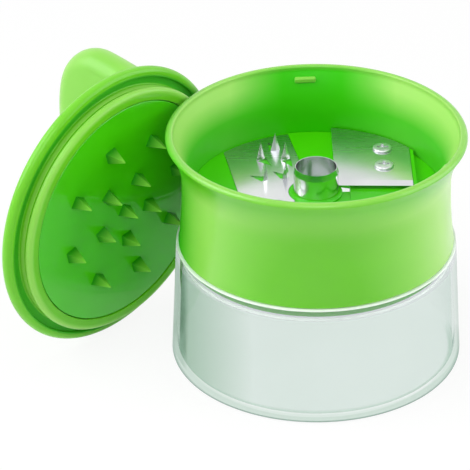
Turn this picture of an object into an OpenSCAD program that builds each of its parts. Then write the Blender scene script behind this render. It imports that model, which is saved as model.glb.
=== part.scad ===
// Hand spiralizer: a clear cup, a flared cutter housing that stands in its mouth,
// and a spiked holder that turns the vegetable on the blades.
// The holder is taken off and stands on its flange, leaning towards the housing's rim.
// Millimetres. Origin at the centre of the cup's base, +Z up along the cup's axis.

/* [Cup] */
// Outer radius of the cup near its foot
cup_base_r = 49.4; // [44:0.1:60]
// Outer radius of the cup at its mouth
cup_mouth_r = 47.2; // [44:0.1:58]
// Height of the cup
cup_h = 42.3; // [30:0.1:90]
// Thickness of the cup's wall
cup_wall = 2.2; // [1.4:0.1:3]
// Thickness of the cup's floor
cup_floor = 1.8; // [1.2:0.1:6]
// Rounding of the cup's foot
cup_foot_round = 1.0; // [0.5:0.1:3]

/* [Housing] */
// Height of the housing above the cup's mouth
housing_h = 40.7; // [32:0.1:60]
// Outer radius of the flared rim
rim_r = 50.0; // [47:0.1:64]
// Outer radius of the housing's waist
waist_r = 44.9; // [42:0.1:46]
// Height of the waist above the cup's mouth
waist_up = 22.5; // [16:0.1:28]
// Outer radius of the housing where it meets the cup
foot_r = 46.4; // [45:0.1:56]
// Thickness of the housing's wall
housing_wall = 2.6; // [1.6:0.1:3.2]
// Rounding of the rim's outer edge
lip_round = 1.5; // [0.5:0.1:2]
// How deep the skirt stands in the cup
skirt_depth = 4.0; // [2:0.1:8]
// Radial play of the skirt in the cup
skirt_clear = 0.3; // [0.1:0.05:0.6]
// Number of snap lugs inside the rim
lug_count = 3; // [2:1:6]
// Length of a snap lug round the wall
lug_len = 7.3; // [3:0.1:12]
// Height of a snap lug
lug_h = 1.8; // [1:0.1:3]
// How far the lugs lie below the rim
lug_drop = 3.5; // [2.5:0.1:8]
// Turn of the first lug round the axis
lug_turn = 93; // [0:1:360]

/* [Deck] */
// Depth of the deck below the rim
deck_drop = 23.0; // [16:0.1:30]
// Thickness of the deck
deck_thick = 3.5; // [2.5:0.1:6]
// Radial play of the deck in the housing
deck_clear = 0.1; // [0.05:0.05:0.4]
// Width of the housing's ledge under the deck
ledge_w = 5.0; // [4.8:0.1:8]
// Thickness of that ledge
ledge_thick = 2.5; // [1.5:0.1:4]
// Number of screws that hold the deck
deck_screw_count = 3; // [3:1:4]

/* [Blades] */
// Thickness of both steel plates
blade_thick = 0.8; // [0.5:0.1:1.2]
// Slice thickness: height of the slicing blade over the deck
slice_step = 2.0; // [1.4:0.1:3]
// Left side of the slicing blade
slice_left = 6.5; // [5:0.1:8]
// Right side of the slicing blade
slice_right = 32.5; // [28:0.1:34]
// Place of the cutting edge in front of the axis line
cut_y = 1.6; // [0:0.1:4]
// How much further forward the cutting edge is at its right end
cut_skew = 1.0; // [0:0.1:3]
// Width of the bevel along the cutting edge
cut_bevel = 2.6; // [1:0.1:4]
// Gap between the plates' round side and the deck's edge
plate_inset = 0.6; // [0.3:0.1:2]
// Height of a scoring tooth
tooth_h = 6.5; // [3:0.1:9]
// Width of a scoring tooth at its root
tooth_w = 3.8; // [2:0.1:5]

/* [Corer] */
// Outer radius of the corer tube
tube_r = 7.5; // [5:0.1:9]
// Wall of the corer tube
tube_wall = 0.7; // [0.5:0.1:1]
// Height of the tube above the deck
tube_stand = 9.6; // [4:0.1:14]
// Height of the sharpened bevel at its top
tube_bevel = 2.0; // [0.5:0.1:4]
// Width of the flange at the tube's foot
tube_flange = 0.7; // [0.5:0.1:2]

/* [Holder] */
// How far the flange stays inside the rim's outer edge
flange_inset = 0.0; // [0:0.1:2]
// Thickness of the flange
flange_thick = 4.0; // [3:0.1:6]
// How deep the plug reaches below the flange
plug_depth = 4.4; // [3:0.1:4.6]
// Radial play of the plug in the housing's mouth, past the lugs
plug_clear = 1.25; // [1.1:0.05:2]
// Width of the lip round the spike plate
plug_lip = 4.2; // [3:0.1:6]
// Thickness of the cap's top
cap_top = 2.0; // [1.5:0.1:2.5]
// Thickness of the spike plate
spike_plate_thick = 2.0; // [1.2:0.1:2.2]
// Width of the seam round the spike plate
seam = 0.25; // [0.1:0.05:0.5]
// Height of a spike
spike_h = 6.5; // [3:0.1:9]
// Width of a spike at its base
spike_w = 4.5; // [3:0.1:6]
// Radius of the inner ring of spikes
spike_inner_r = 11.6; // [8:0.1:14]
// Number of spikes in the inner ring
spike_inner_count = 5; // [3:1:6]
// Radius of the outer ring of spikes
spike_outer_r = 25.5; // [20:0.1:32]
// Number of spikes in the outer ring
spike_outer_count = 8; // [5:1:12]
// Turn of the spike rings round the holder's axis
spike_turn = 209.8; // [0:0.1:360]

/* [Grip] */
// How far the grip's ends stay inside the flange's edge
grip_inset = 0.0; // [0:0.1:6]
// Height of the grip above the cap
grip_h = 28.3; // [20:0.1:40]
// Thickness of the grip
grip_thick = 13.0; // [8:0.1:15]
// Rounding of the grip's upper corners
grip_corner = 15.0; // [7:0.1:15]
// How much lower the grip is in the middle
grip_dip = 8.0; // [0:0.1:10]
// Turn of the grip round the holder's axis
grip_turn = 13.5; // [0:0.1:180]

/* [Fasteners] */
// Shank radius of the small screws
screw_r = 1.5; // [1.2:0.1:1.7]
// Head radius of the small screws
screw_head_r = 3.1; // [2.5:0.1:3.5]
// Head height of the small screws
screw_head_h = 1.8; // [1.2:0.1:2]
// Shank radius of the grip's centre bolt
bolt_r = 2.0; // [1.5:0.1:2.5]
// Head radius of the centre bolt
bolt_head_r = 3.8; // [3:0.1:4.5]
// Radial play of a screw in its hole
screw_clear = 0.05; // [0.02:0.01:0.1]

/* [Pose] */
// Angle between the holder's axis and the vertical
lean_polar = 86.3; // [86:0.1:90]
// Compass angle of the side that the holder stands on
lean_azimuth = 136.7; // [0:0.1:360]
// Distance of the holder's middle from the line through the housing's axis
lean_side = 39.1; // [0:0.1:60]
// Gap between the leaning holder and the rim
lean_gap = 0.4; // [0.3:0.1:3]
// Height of the flange's edge above the floor
floor_gap = 0.05; // [0:0.01:0.3]

/* [Hidden] */

$fn = 96;
slop = 1;
curve_steps = 14;
arc_steps = 6;

green = [0.45, 0.80, 0.22];
steel = [0.78, 0.80, 0.82];
zinc = [0.62, 0.64, 0.66];
clear = [0.86, 0.93, 0.90, 0.45];

// Cup
cup_inner_mouth_r = cup_mouth_r - cup_wall;
cup_inner_base_r = cup_base_r - cup_wall;
cup_inner_round = 1.5;
cup_lip_round = 0.5;

// Heights on the shared axis
rim_z = cup_h + housing_h;
lip_z = rim_z - lip_round;
waist_z = cup_h + waist_up;
deck_z = rim_z - deck_drop;
ledge_z = deck_z - deck_thick;
slice_z = deck_z + slice_step;

// Housing
bore_r = waist_r - housing_wall;
skirt_r = cup_inner_mouth_r - skirt_clear;
skirt_z = cup_h - skirt_depth;
flare_power = 2.2;
lip_inner_round = 0.8;
lug_sink = 1;
lug_proud = 1.0;
function wall_r(z) = z < waist_z
    ? waist_r + (foot_r - waist_r) * pow((waist_z - z) / (waist_z - cup_h), 2)
    : waist_r + (rim_r - waist_r) * pow((z - waist_z) / (lip_z - waist_z), flare_power);
function inner_r(z) = wall_r(z) - housing_wall;
function between(from, to, i) = from + (to - from) * i / curve_steps;

// Deck and blades
deck_r = bore_r - deck_clear;
plate_r = deck_r - plate_inset;
plate_clear = 0.15;
seat_h = slice_step - blade_thick;
seat_rib_w = 1.3;
slot_front = cut_y + 2.8;
slot_back = slot_front + 5.6;
slot_right = slice_right - 1.5;
notch_w = 2.6;
notch_front = cut_y - 1;
relief_front = -14;
relief_depth = 0.6;
boss_wall = 1.3;
boss_r = tube_r + boss_wall;
tube_gap = 0.4;
edge_left = 0.15;

// Scoring plate: corners at its left, front and right, and the teeth with the side their holes lie on
score_left_back = [-31, 30];
score_left_front = [-23.5, -15];
score_right_front = [-8, -15];
score_right_mid = [-5.2, 22];
score_right_back = [-9, 43];
score_tube_gap = boss_wall + 0.5;
tooth_relief = 0.1;
tooth_sink = blade_thick * 0.6;
tooth_root = 0.2;
teeth = [[-18.2, 23.1, -1], [-13.1, 29.3, 1], [-9.8, 22.9, -1], [-16.7, 8.7, 1], [-9.9, 9.9, 1]];

// Corer
tube_flange_thick = 0.8;
tube_seat_depth = 1.2;
collar_h = 2.0;
collar_play = 0.1;
corer_flange_r = tube_r + tube_flange;
corer_boss_r = corer_flange_r + collar_play + boss_wall;
tube_flange_top = ledge_z - tube_seat_depth;
tube_foot_z = tube_flange_top - tube_flange_thick;
collar_z = tube_foot_z - collar_h;

// Screws
slicing_screws = [[23.4, 25.5], [23.4, 13.5]];
scoring_screws = [[-20, -9.5], [-13, -9.5]];
blade_screw_len = 3.2;
deck_screw_r = 1.2;
deck_screw_head_r = 2.2;
deck_screw_head_h = 1.6;
deck_screw_bite = 2.5;
deck_screw_place = bore_r - 2.5;
deck_screw_turn = 100;
recess_w = 0.9;
recess_depth = 1.0;

// Holder, in its own frame: origin in the middle of the flange, +Z along the grip
flange_r = rim_r - flange_inset;
flange_half = flange_thick / 2;
plug_r = inner_r(rim_z - plug_depth) - plug_clear;
plug_z = -flange_half - plug_depth;
plug_groove = 1.0;
plug_bead = 2.2;
plug_round = 0.7;
plate_seat_r = plug_r - plug_lip;
spike_plate_r = plate_seat_r - seam;
plate_recess = 0.2;
plate_ledge_w = 2.5;
plate_face_z = plug_z + plate_recess;
plate_back_z = plate_face_z + spike_plate_thick;
cap_inner_z = flange_half - cap_top;
spike_tip_w = 0.4;

// Grip
grip_half = flange_r - grip_inset;
grip_tuck = flange_half;
grip_lobe = grip_half - grip_corner;
grip_half_t = grip_thick / 2;
grip_root_t = grip_half_t + 0.8;
grip_root_h = 5;
grip_corner_z = grip_h - grip_corner;
grip_corner_reach = (grip_lobe + grip_corner_z) / sqrt(2) + grip_corner;
round_steps = 12;
grip_screw_place = 22;
grip_screw_len = 14;
bolt_len = 16;
bolt_head_h = 2.2;
washer_r = 5.5;
washer_thick = 1.0;
washer_gap = 0.1;
hole_spare = 1;

// Where the holder leans: its face, spikes and flange are held off the cup and the housing at every height
face_depth = flange_half + plug_depth;
face_r = plug_r - plug_round;
spike_depth = spike_h - plate_face_z;
spike_spare = 0.1;
stand_z = (flange_r - flange_half) * sin(lean_polar) + flange_half + floor_gap;
lean_steps = 60;
function body_r(z) = z < cup_h ? cup_base_r + (cup_mouth_r - cup_base_r) * z / cup_h : wall_r(z);
function lean_near(z, r) = max(0, lean_side - sqrt(max(0, pow(r, 2) - pow(z - stand_z, 2))));
function lean_reach(z, r) = sqrt(max(0, pow(body_r(z), 2) - pow(lean_near(z, r), 2)))
    + (z - stand_z) * tan(90 - lean_polar);
function most_reach(r) = max([for (i = [0:lean_steps]) lean_reach(lip_z * i / lean_steps, r)]);
lean_back = max(
    most_reach(face_r) + face_depth + lean_gap,
    most_reach(spike_outer_r + spike_tip_w) + spike_depth + spike_spare,
    most_reach(flange_r) + flange_half + lean_gap
);

// Points of an arc about a centre, from one angle to another
function arc(centre, r, from, to, steps = arc_steps) =
    [for (i = [0:steps]) let (a = from + (to - from) * i / steps) centre + r * [cos(a), sin(a)]];

// Places the holder's own frame where it leans
module leaning() {
    rotate([0, 0, lean_azimuth])
        translate([lean_back, lean_side, stand_z])
            rotate([0, lean_polar, 0])
                children();
}

// Pan-head screw: its head stands on z = 0 and its shank goes down
module pan_screw(shank_r, head_r, head_h, length) {
    difference() {
        union() {
            rotate_extrude()
                polygon(concat(
                    [[0, 0], [head_r, 0], [head_r, head_h * 0.45]],
                    arc([head_r * 0.55, head_h * 0.45], head_r * 0.45, 0, 40),
                    [[head_r * 0.5, head_h], [0, head_h]]));
            translate([0, 0, -length])
                cylinder(h = length + head_h / 2, r = shank_r);
        }
        for (turn = [0, 90])
            rotate([0, 0, turn])
                translate([-head_r * 0.55, -recess_w / 2, head_h - recess_depth])
                    cube([head_r * 1.1, recess_w, recess_depth + slop]);
    }
}

// Clear tapered cup that catches the noodles
module container_cup() {
    foot_c = [cup_base_r - cup_foot_round, cup_foot_round];
    lip_c = [cup_mouth_r - cup_lip_round, cup_h - cup_lip_round];
    inner_c = [cup_inner_base_r - cup_inner_round, cup_floor + cup_inner_round];
    color(clear)
        rotate_extrude()
            polygon(concat(
                [[0, 0]],
                arc(foot_c, cup_foot_round, -90, 0),
                arc(lip_c, cup_lip_round, 0, 90),
                [[cup_inner_mouth_r, cup_h]],
                arc(inner_c, cup_inner_round, 0, -90),
                [[0, cup_floor]]));
}

// Flared green housing with the ledge for the deck and the snap lugs
module cutter_housing() {
    outer = [for (i = [0:curve_steps]) let (z = between(cup_h, lip_z, i)) [wall_r(z), z]];
    inner = [for (i = [0:curve_steps]) let (z = between(lip_z, waist_z, i)) [inner_r(z), z]];
    inner_top = rim_z - lip_inner_round;
    mouth_r = rim_r - housing_wall;
    lug_z = rim_z - lug_drop - lug_h;
    lug_r = inner_r(lug_z + lug_h / 2) - lug_proud;
    color(green)
        difference() {
            union() {
                rotate_extrude()
                    polygon(concat(
                        [[bore_r, skirt_z], [skirt_r, skirt_z], [skirt_r, cup_h]],
                        outer,
                        arc([rim_r - lip_round, lip_z], lip_round, 0, 90),
                        arc([mouth_r + lip_inner_round, inner_top], lip_inner_round, 90, 180),
                        inner,
                        [[bore_r, ledge_z], [bore_r - ledge_w, ledge_z]],
                        [[bore_r - ledge_w, ledge_z - ledge_thick], [bore_r, ledge_z - ledge_thick]]));
                for (i = [0:lug_count - 1])
                    rotate([0, 0, lug_turn + i * 360 / lug_count])
                        translate([lug_r, -lug_len / 2, lug_z])
                            cube([lug_proud + lug_sink, lug_len, lug_h]);
            }
            deck_screw_places()
                translate([0, 0, ledge_z - ledge_thick - slop])
                    cylinder(h = ledge_thick + 2 * slop, r = deck_screw_r + screw_clear);
        }
}

// Outline of the slicing blade from its cutting edge to beyond the deck's edge
module slicing_outline(right) {
    polygon([
        [slice_left, cut_y], [right, cut_y - cut_skew * (right - slice_left) / (slice_right - slice_left)],
        [right, deck_r], [slice_left, deck_r]
    ]);
}

// Outline of the scoring plate, grown by a play
module scoring_outline(grow) {
    polygon([
        score_left_back + [-grow, 0], score_left_front + [-grow, -grow], score_right_front + [grow, -grow],
        score_right_mid + [grow, 0], score_right_back + [grow, 0],
        [score_left_back[0] - grow, score_right_back[1]]
    ]);
}

// Deck across the housing: slot under the blade, seats for both plates, boss for the corer
module blade_deck() {
    color(green)
        difference() {
            union() {
                difference() {
                    translate([0, 0, ledge_z])
                        cylinder(h = deck_thick, r = deck_r);
                    translate([0, slot_front, ledge_z - slop])
                        cube([slot_right, slot_back - slot_front, deck_thick + 2 * slop]);
                    translate([0, notch_front, ledge_z - slop])
                        cube([boss_r + notch_w, slot_back - notch_front, deck_thick + 2 * slop]);
                    translate([0, relief_front, deck_z - relief_depth])
                        cube([boss_r + notch_w, notch_front - relief_front + slop, relief_depth + slop]);
                }
                // Raised seat behind the slot and the rib beside the blade
                intersection() {
                    translate([0, 0, deck_z - slop])
                        cylinder(h = seat_h + slop, r = plate_r);
                    translate([slice_left, slot_back, deck_z - slop])
                        cube([slice_right + seat_rib_w - slice_left, deck_r, seat_h + slop]);
                }
                intersection() {
                    translate([0, 0, deck_z - slop])
                        cylinder(h = slice_step + slop, r = plate_r);
                    translate([slice_right + plate_clear, cut_y - cut_skew, deck_z - slop])
                        cube([seat_rib_w - plate_clear, deck_r, slice_step + slop]);
                }
                // Boss round the corer: hollow-rounded above the deck, plain below it
                rotate_extrude()
                    polygon(concat(
                        [[0, ledge_z], [boss_r, ledge_z]],
                        arc([boss_r, deck_z + boss_wall], boss_wall, 270, 180),
                        [[0, deck_z + boss_wall]]));
                translate([0, 0, collar_z])
                    cylinder(h = ledge_z - collar_z, r = corer_boss_r);
            }
            // Recess for the scoring plate
            intersection() {
                translate([0, 0, deck_z - blade_thick])
                    linear_extrude(blade_thick + slop)
                        scoring_outline(plate_clear);
                difference() {
                    translate([0, 0, deck_z - blade_thick])
                        cylinder(h = blade_thick + slop, r = plate_r + plate_clear);
                    cylinder(h = rim_z, r = tube_r + score_tube_gap - plate_clear);
                }
            }
            // Bore for the corer with its counterbore, and the screw holes
            translate([0, 0, collar_z - slop])
                cylinder(h = rim_z, r = tube_r + screw_clear);
            translate([0, 0, collar_z - slop])
                cylinder(h = tube_flange_top - collar_z + slop, r = corer_flange_r + collar_play);
            for (place = concat(slicing_screws, scoring_screws))
                translate([place[0], place[1], ledge_z - slop])
                    cylinder(h = rim_z, r = screw_r + screw_clear);
            deck_screw_places()
                translate([0, 0, ledge_z - slop])
                    cylinder(h = deck_screw_bite + slop, r = deck_screw_r + screw_clear);
        }
}

// Repeats its children at each deck screw, round the ledge
module deck_screw_places() {
    for (i = [1:deck_screw_count])
        deck_screw_place(i)
            children();
}

// Turns its children to one deck screw's place
module deck_screw_place(i) {
    rotate([0, 0, deck_screw_turn + i * 360 / deck_screw_count])
        translate([deck_screw_place, 0, 0])
            children();
}

// Steel slicing blade with its bevelled cutting edge
module slicing_blade() {
    blade_z = slice_z - blade_thick;
    edge_angle = -atan(cut_skew / (slice_right - slice_left));
    bevel_angle = atan((blade_thick - edge_left) / cut_bevel);
    color(steel)
        difference() {
            intersection() {
                translate([0, 0, blade_z])
                    linear_extrude(blade_thick)
                        slicing_outline(slice_right);
                translate([0, 0, blade_z - slop])
                    cylinder(h = blade_thick + 2 * slop, r = plate_r);
            }
            translate([0, 0, blade_z - slop])
                cylinder(h = blade_thick + 2 * slop, r = tube_r + tube_gap);
            translate([slice_left, cut_y, blade_z + edge_left])
                rotate([bevel_angle, 0, edge_angle])
                    translate([-deck_r, -slop, 0])
                        cube([3 * deck_r, cut_bevel + 2 * slop, 2 * slop]);
            for (place = slicing_screws)
                translate([place[0], place[1], blade_z - slop])
                    cylinder(h = blade_thick + 2 * slop, r = screw_r + screw_clear);
        }
}

// Steel scoring plate: five teeth are cut out of it and bent up
module scoring_plate() {
    plate_z = deck_z - blade_thick;
    color(steel)
        union() {
            difference() {
                intersection() {
                    translate([0, 0, plate_z])
                        linear_extrude(blade_thick)
                            scoring_outline(0);
                    translate([0, 0, plate_z - slop])
                        cylinder(h = blade_thick + 2 * slop, r = plate_r);
                }
                translate([0, 0, plate_z - slop])
                    cylinder(h = blade_thick + 2 * slop, r = tube_r + score_tube_gap);
                for (place = scoring_screws)
                    translate([place[0], place[1], plate_z - slop])
                        cylinder(h = blade_thick + 2 * slop, r = screw_r + screw_clear);
                for (tooth = teeth)
                    tooth_place(tooth)
                        translate([0, blade_thick / 2 + tooth_relief, plate_z - slop])
                            linear_extrude(blade_thick + 2 * slop)
                                polygon([[-tooth_w / 2, 0], [tooth_w / 2, 0], [0, tooth_h - blade_thick]]);
            }
            for (tooth = teeth)
                tooth_place(tooth)
                    translate([0, blade_thick / 2, deck_z])
                        rotate([90, 0, 0])
                            linear_extrude(blade_thick)
                                polygon([
                                    [-tooth_w / 2, -tooth_sink], [tooth_w / 2, -tooth_sink],
                                    [tooth_w / 2, tooth_root], [0, tooth_h], [-tooth_w / 2, tooth_root]
                                ]);
        }
}

// Moves to a tooth's root, with X along its circle and Y to the side of its hole
module tooth_place(tooth) {
    translate([tooth[0], tooth[1], 0])
        rotate([0, 0, atan2(tooth[1], tooth[0]) - 90 * tooth[2]])
            children();
}

// Steel corer tube: flanged foot, sharpened outside at its top
module corer_tube() {
    top_z = deck_z + tube_stand;
    inside_r = tube_r - tube_wall;
    color(steel)
        rotate_extrude()
            polygon([
                [inside_r, tube_foot_z], [corer_flange_r, tube_foot_z], [corer_flange_r, tube_flange_top],
                [tube_r, tube_flange_top], [tube_r, top_z - tube_bevel], [inside_r + edge_left, top_z],
                [inside_r, top_z]
            ]);
}

// Ring pressed into the boss under the tube's flange
module corer_collar() {
    color(green)
        translate([0, 0, collar_z])
            difference() {
                cylinder(h = collar_h, r = corer_flange_r);
                translate([0, 0, -slop])
                    cylinder(h = collar_h + 2 * slop, r = tube_r - tube_wall);
            }
}

// Screws of the two blades, standing on the steel
module slicing_screw(i) {
    color(zinc)
        translate([slicing_screws[i - 1][0], slicing_screws[i - 1][1], slice_z])
            pan_screw(screw_r, screw_head_r, screw_head_h, blade_screw_len + seat_h);
}

module scoring_screw(i) {
    color(zinc)
        translate([scoring_screws[i - 1][0], scoring_screws[i - 1][1], deck_z])
            pan_screw(screw_r, screw_head_r, screw_head_h, blade_screw_len);
}

// Screws from below through the ledge into the deck
module deck_screw(i) {
    length = ledge_thick + deck_screw_bite;
    color(zinc)
        deck_screw_place(i)
            translate([0, 0, ledge_z - ledge_thick])
                rotate([180, 0, 0])
                    pan_screw(deck_screw_r, deck_screw_head_r, deck_screw_head_h, length);
}

// Holder cap: flange, plug with a grooved side, and the seat for the spike plate
module holder_cap() {
    edge_r = flange_r - flange_half;
    bead_z = plug_z + plug_bead;
    hollow_r = plate_seat_r - plate_ledge_w;
    color(green)
        leaning()
            difference() {
                rotate_extrude()
                    polygon(concat(
                        [[0, flange_half]],
                        arc([edge_r, 0], flange_half, 90, -90, round_steps),
                        [[plug_r - plug_groove, -flange_half], [plug_r - plug_groove, bead_z]],
                        arc([plug_r - plug_round, bead_z - plug_round], plug_round, 90, 0),
                        arc([plug_r - plug_round, plug_z + plug_round], plug_round, 0, -90),
                        [[plate_seat_r, plug_z], [plate_seat_r, plate_back_z]],
                        [[hollow_r, plate_back_z], [hollow_r, cap_inner_z], [0, cap_inner_z]]));
                grip_screw_places()
                    translate([0, 0, cap_inner_z - slop])
                        cylinder(h = cap_top + 2 * slop, r = screw_r + screw_clear);
                translate([0, 0, cap_inner_z - slop])
                    cylinder(h = cap_top + 2 * slop, r = bolt_r + screw_clear);
            }
}

// One four-sided spike, pointing down from z = 0
module spike() {
    half = spike_w / 2;
    tip = spike_tip_w / 2;
    side = [[-half, slop], [half, slop], [half, 0], [tip, -spike_h], [-tip, -spike_h], [-half, 0]];
    intersection() {
        rotate([90, 0, 0])
            linear_extrude(spike_w, center = true)
                polygon(side);
        rotate([90, 0, 90])
            linear_extrude(spike_w, center = true)
                polygon(side);
    }
}

// Spike plate: a disc in the cap's seat with one spike in the middle and two rings of them
module spike_plate() {
    color(green)
        leaning()
            union() {
                translate([0, 0, plate_face_z])
                    cylinder(h = spike_plate_thick, r = spike_plate_r);
                translate([0, 0, plate_face_z])
                    rotate([0, 0, spike_turn]) {
                        spike();
                        spike_ring(spike_inner_r, spike_inner_count);
                        spike_ring(spike_outer_r, spike_outer_count);
                    }
            }
}

// A ring of spikes about the holder's axis
module spike_ring(r, count) {
    for (i = [0:count - 1])
        rotate([0, 0, i * 360 / count])
            translate([r, 0, 0])
                spike();
}

// Both grip screws lie on the grip's length
module grip_screw_places() {
    for (i = [1, 2])
        grip_screw_place(i)
            children();
}

module grip_screw_place(i) {
    rotate([0, 0, grip_turn + 180 * i])
        translate([grip_screw_place, 0, 0])
            children();
}

// Wing grip on the cap's back: its side view, end view, plan and rounded corners cut each other
module wing_grip() {
    dip_steps = 2 * curve_steps;
    top = [for (i = [0:dip_steps])
        let (l = grip_lobe * (1 - 2 * i / dip_steps))
        [l, grip_h - grip_dip * (0.5 + 0.5 * cos(180 * l / grip_lobe))]];
    side = concat(
        [[grip_tuck - grip_half, 0], [grip_half - grip_tuck, 0]],
        arc([grip_lobe, grip_corner_z], grip_corner, 0, 90),
        top,
        arc([-grip_lobe, grip_corner_z], grip_corner, 90, 180));
    end = concat(
        [[-grip_root_t, 0], [grip_root_t, 0], [grip_half_t, grip_root_h]],
        arc([0, grip_h - grip_half_t], grip_half_t, 0, 180, round_steps),
        [[-grip_half_t, grip_root_h]]);
    corner = concat(
        [[-grip_root_t, -grip_half], [grip_root_t, -grip_half]],
        arc([0, grip_corner_reach - grip_root_t], grip_root_t, 0, 180, round_steps));
    color(green)
        leaning()
            difference() {
                translate([0, 0, flange_half])
                    rotate([0, 0, grip_turn])
                        intersection() {
                            rotate([90, 0, 0])
                                linear_extrude(2 * grip_root_t + slop, center = true)
                                    polygon(side);
                            rotate([90, 0, 90])
                                linear_extrude(2 * grip_half + slop, center = true)
                                    polygon(end);
                            for (lobe = [-1, 1])
                                rotate([0, 45 * lobe, 0])
                                    rotate([90, 0, 90])
                                        linear_extrude(4 * grip_half, center = true)
                                            polygon(corner);
                            linear_extrude(grip_h + slop)
                                union() {
                                    square([2 * (grip_half - grip_root_t), 2 * grip_root_t], center = true);
                                    for (lobe = [-1, 1])
                                        translate([lobe * (grip_half - grip_root_t), 0])
                                            circle(grip_root_t);
                                }
                        }
                grip_screw_places()
                    cylinder(h = cap_inner_z + grip_screw_len + hole_spare, r = screw_r + screw_clear);
                cylinder(h = cap_inner_z + bolt_len + hole_spare, r = bolt_r + screw_clear);
            }
}

// Screws from inside the cap into the grip
module grip_screw(i) {
    color(zinc)
        leaning()
            grip_screw_place(i)
                translate([0, 0, cap_inner_z])
                    rotate([180, 0, 0])
                        pan_screw(screw_r, screw_head_r, screw_head_h, grip_screw_len);
}

// Bolt on the holder's axis, through its washer and the cap into the grip
module centre_bolt() {
    color(zinc)
        leaning()
            translate([0, 0, cap_inner_z - washer_gap - washer_thick])
                rotate([180, 0, 0])
                    pan_screw(bolt_r, bolt_head_r, bolt_head_h, bolt_len);
}

module bolt_washer() {
    color(zinc)
        leaning()
            translate([0, 0, cap_inner_z - washer_gap - washer_thick])
                difference() {
                    cylinder(h = washer_thick, r = washer_r);
                    translate([0, 0, -slop])
                        cylinder(h = washer_thick + 2 * slop, r = bolt_r + screw_clear);
                }
}

container_cup();
cutter_housing();
blade_deck();
slicing_blade();
scoring_plate();
corer_tube();
corer_collar();
slicing_screw(1);  // slicing_screw_1
slicing_screw(2);  // slicing_screw_2
scoring_screw(1);  // scoring_screw_1
scoring_screw(2);  // scoring_screw_2
deck_screw(1);  // deck_screw_1
deck_screw(2);  // deck_screw_2
deck_screw(3);  // deck_screw_3
holder_cap();
spike_plate();
wing_grip();
grip_screw(1);  // grip_screw_1
grip_screw(2);  // grip_screw_2
centre_bolt();
bolt_washer();
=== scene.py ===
# %% [markdown]
# A hand spiralizer in lime-green plastic: a clear cup that catches the noodles, a flared
# housing with its blades that stands in the cup's mouth, and a round holder with spikes
# that has been taken off and leans towards the rim. The imported frame gives every piece
# its place and its joints, so this lesson only builds better-looking pieces in the same
# places and lets each of them ride on its body. The frame pieces they replace stay, hidden.

from math import atan2, cos, hypot, pi, radians, sin, sqrt

import bmesh
import bpy
from mathutils import Matrix, Vector


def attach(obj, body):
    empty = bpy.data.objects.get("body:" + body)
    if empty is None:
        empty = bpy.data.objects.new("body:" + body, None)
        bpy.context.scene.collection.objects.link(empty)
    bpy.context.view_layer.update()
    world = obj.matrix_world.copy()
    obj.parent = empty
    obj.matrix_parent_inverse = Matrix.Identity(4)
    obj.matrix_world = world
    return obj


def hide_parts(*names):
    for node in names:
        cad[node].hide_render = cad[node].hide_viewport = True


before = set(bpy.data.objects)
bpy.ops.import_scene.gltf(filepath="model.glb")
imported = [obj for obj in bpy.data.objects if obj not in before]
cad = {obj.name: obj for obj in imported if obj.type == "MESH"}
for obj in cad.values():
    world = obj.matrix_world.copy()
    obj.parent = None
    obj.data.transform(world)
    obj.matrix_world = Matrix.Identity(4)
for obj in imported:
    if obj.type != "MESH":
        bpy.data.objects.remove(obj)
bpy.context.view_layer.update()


# %% [markdown]
# Shaders and Geometry Nodes are both node trees. Clicking nodes together is slow to read
# back, so a tree is written as Python: one small class wraps an output socket and lets
# arithmetic on it add Math nodes, and one method adds any other node. Settings come
# first, because a node's sockets change with them.

# %% Values that add their own Math nodes
class Value:
    """One output of a node; arithmetic on it adds Math nodes to the same tree."""

    def __init__(self, bench, socket):
        self.bench, self.socket = bench, socket

    def maths(self, operation, first, second=0.0):
        return self.bench.node("ShaderNodeMath", {"operation": operation}, {0: first, 1: second})

    def __add__(self, other):
        return self.maths("ADD", self, other)

    __radd__ = __add__

    def __sub__(self, other):
        return self.maths("SUBTRACT", self, other)

    def __rsub__(self, other):
        return self.maths("SUBTRACT", other, self)

    def __mul__(self, other):
        return self.maths("MULTIPLY", self, other)

    __rmul__ = __mul__

    def __truediv__(self, other):
        return self.maths("DIVIDE", self, other)

    def __rtruediv__(self, other):
        return self.maths("DIVIDE", other, self)

    def __pow__(self, other):
        return self.maths("POWER", self, other)

    def at_least(self, other):
        return self.maths("MAXIMUM", self, other)

    def at_most(self, other):
        return self.maths("MINIMUM", self, other)

    def cosine(self):
        return self.maths("COSINE", self)

    def sine(self):
        return self.maths("SINE", self)


def socket_of(sockets, key):
    """A socket by its number, its name or its identifier, among those in use."""
    if isinstance(key, int):
        return sockets[key]
    return next(s for s in sockets if s.enabled and key in (s.name, s.identifier))


class Bench:
    """A node tree, and the one method that adds a node to it."""

    def __init__(self, tree):
        self.tree = tree

    def node(self, kind, settings=None, sockets=None, output=0):
        made = self.tree.nodes.new(kind)
        for key, value in (settings or {}).items():
            setattr(made, key, value)
        for key, value in (sockets or {}).items():
            self.feed(socket_of(made.inputs, key), value)
        return Value(self, socket_of(made.outputs, output))

    def split(self, vector, axis):
        """One coordinate of a vector: 0, 1 or 2 for X, Y or Z."""
        return self.node("ShaderNodeSeparateXYZ", None, {0: vector}, axis)

    def vectors(self, operation, first, second=(0, 0, 0), output=0):
        """Vector Math on one or two vectors."""
        return self.node("ShaderNodeVectorMath", {"operation": operation}, {0: first, 1: second}, output)

    def feed(self, socket, value):
        if isinstance(value, Value):
            self.tree.links.new(value.socket, socket)
        else:
            socket.default_value = value


print("node bench ready")

# %% [markdown]
# A finish is one Principled shader with a few helpers. Numbers that are the same all
# over the surface are set on the shader itself. What varies is noise in the piece's own
# coordinates, in metres: a noise scale of 1000 gives marks about a millimetre across.

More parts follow.
